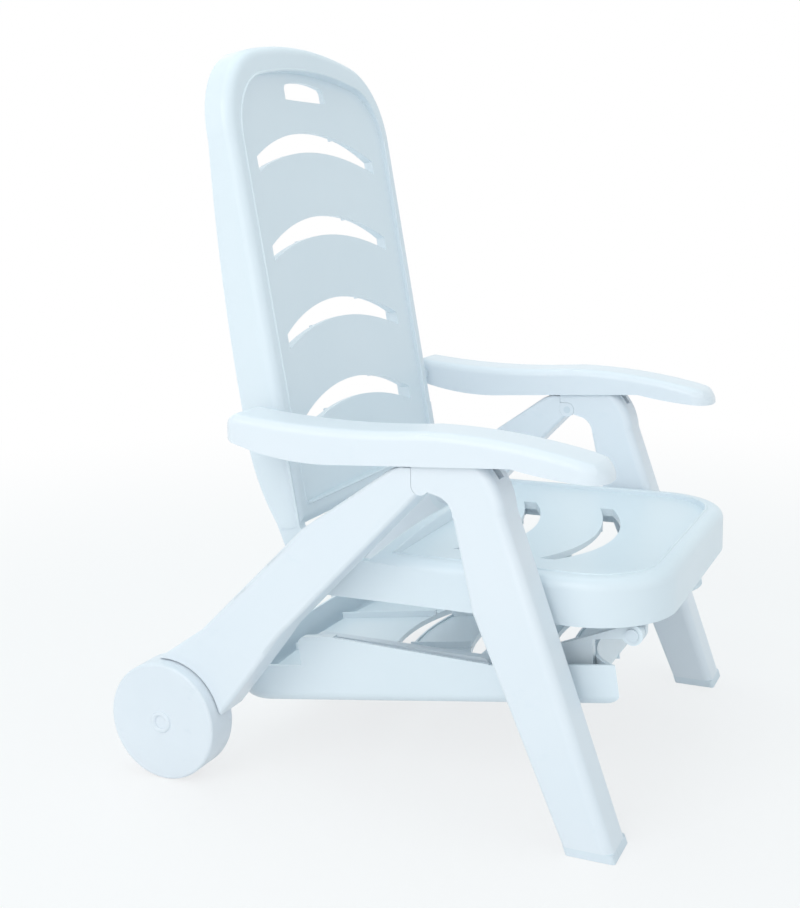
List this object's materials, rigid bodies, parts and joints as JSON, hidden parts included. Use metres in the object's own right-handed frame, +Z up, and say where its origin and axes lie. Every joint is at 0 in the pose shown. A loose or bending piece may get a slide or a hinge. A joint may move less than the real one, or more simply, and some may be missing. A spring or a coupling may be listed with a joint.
{
  "type": "folding sun lounger",
  "caption": "Moulded plastic folding lounge chair with a slotted reclining back, armrests, splayed legs, rear wheels and a leg rest that folds under the seat.",
  "frame": {"origin": "on the floor under the middle of the overall length and width", "axes": "+X the way the sitter faces, +Y the sitter's left, +Z up"},
  "size_m": [0.714, 0.67, 0.9694],
  "materials": {
    "shell_plastic": "satin moulded white",
    "wheel_plastic": "satin moulded white",
    "pin_plastic": "plain turned nylon",
    "foot_plastic": "matt soft-touch"
  },
  "bodies": {
    "seat": {"seat_shell": "shell_plastic", "main_pivot_pin_left": "pin_plastic", "main_pivot_pin_right": "pin_plastic", "leg_rest_pin_left": "pin_plastic", "leg_rest_pin_right": "pin_plastic"},
    "backrest": {"backrest_shell": "shell_plastic", "arm_pivot_pin_left": "pin_plastic", "arm_pivot_pin_right": "pin_plastic", "arm_spacer_left": "pin_plastic", "arm_spacer_right": "pin_plastic"},
    "armrest_left": {"armrest_left": "shell_plastic"},
    "armrest_right": {"armrest_right": "shell_plastic"},
    "rear_legs": {"rear_leg_left": "shell_plastic", "rear_leg_right": "shell_plastic", "wheel_axle_left": "pin_plastic", "wheel_axle_right": "pin_plastic", "knuckle_pin_left": "pin_plastic", "knuckle_pin_right": "pin_plastic"},
    "front_legs": {"front_leg_left": "shell_plastic", "front_leg_right": "shell_plastic", "stop_pin_left": "pin_plastic", "stop_pin_right": "pin_plastic", "front_foot_cap_left": "foot_plastic", "front_foot_cap_right": "foot_plastic"},
    "wheel_left": {"wheel_left": "wheel_plastic"},
    "wheel_right": {"wheel_right": "wheel_plastic"},
    "leg_rest": {"leg_rest_shell": "shell_plastic", "prop_pin_left": "pin_plastic", "prop_pin_right": "pin_plastic"},
    "prop": {"leg_rest_prop_left": "shell_plastic", "leg_rest_prop_right": "shell_plastic", "prop_foot_bar": "shell_plastic"}
  },
  "joints": [
    {"name": "recline", "type": "hinge", "parent": "seat", "child": "backrest", "pos_m": [-0.105, 0, 0.278], "axis": [0, -1, 0], "range_deg": [0, 50]},
    {"name": "armrest_left_tilt", "type": "hinge", "parent": "backrest", "child": "armrest_left", "pos_m": [-0.155, 0.26, 0.47], "axis": [0, -1, 0], "range_deg": [-35, 0]},
    {"name": "armrest_right_tilt", "type": "hinge", "parent": "backrest", "child": "armrest_right", "pos_m": [-0.155, -0.26, 0.47], "axis": [0, -1, 0], "range_deg": [-35, 0]},
    {"name": "leg_fold", "type": "hinge", "parent": "seat", "child": "rear_legs", "pos_m": [-0.105, 0, 0.278], "axis": [0, 1, 0], "range_deg": [0, 40]},
    {"name": "leg_close", "type": "hinge", "parent": "rear_legs", "child": "front_legs", "pos_m": [0.091, 0, 0.423], "axis": [0, 1, 0], "range_deg": [0, 56]},
    {"name": "wheel_left_spin", "type": "hinge", "parent": "rear_legs", "child": "wheel_left", "pos_m": [-0.278, 0.3075, 0.079], "axis": [0, 1, 0], "continuous": true},
    {"name": "wheel_right_spin", "type": "hinge", "parent": "rear_legs", "child": "wheel_right", "pos_m": [-0.278, -0.3075, 0.079], "axis": [0, 1, 0], "continuous": true},
    {"name": "leg_rest_swing", "type": "hinge", "parent": "seat", "child": "leg_rest", "pos_m": [0.319, 0, 0.238], "axis": [0, -1, 0], "range_deg": [0, 171.7]},
    {"name": "prop_swing", "type": "hinge", "parent": "leg_rest", "child": "prop", "pos_m": [-0.09462, 0, 0.17766], "axis": [0, -1, 0], "range_deg": [0, 98.3]}
  ],
  "couplings": [
    {"joint": "armrest_left_tilt", "follows": "recline", "ratio": -0.7},
    {"joint": "armrest_right_tilt", "follows": "recline", "ratio": -0.7},
    {"joint": "leg_close", "follows": "leg_fold", "ratio": 1.4},
    {"joint": "prop_swing", "follows": "leg_rest_swing", "ratio": 0.57251}
  ]
}
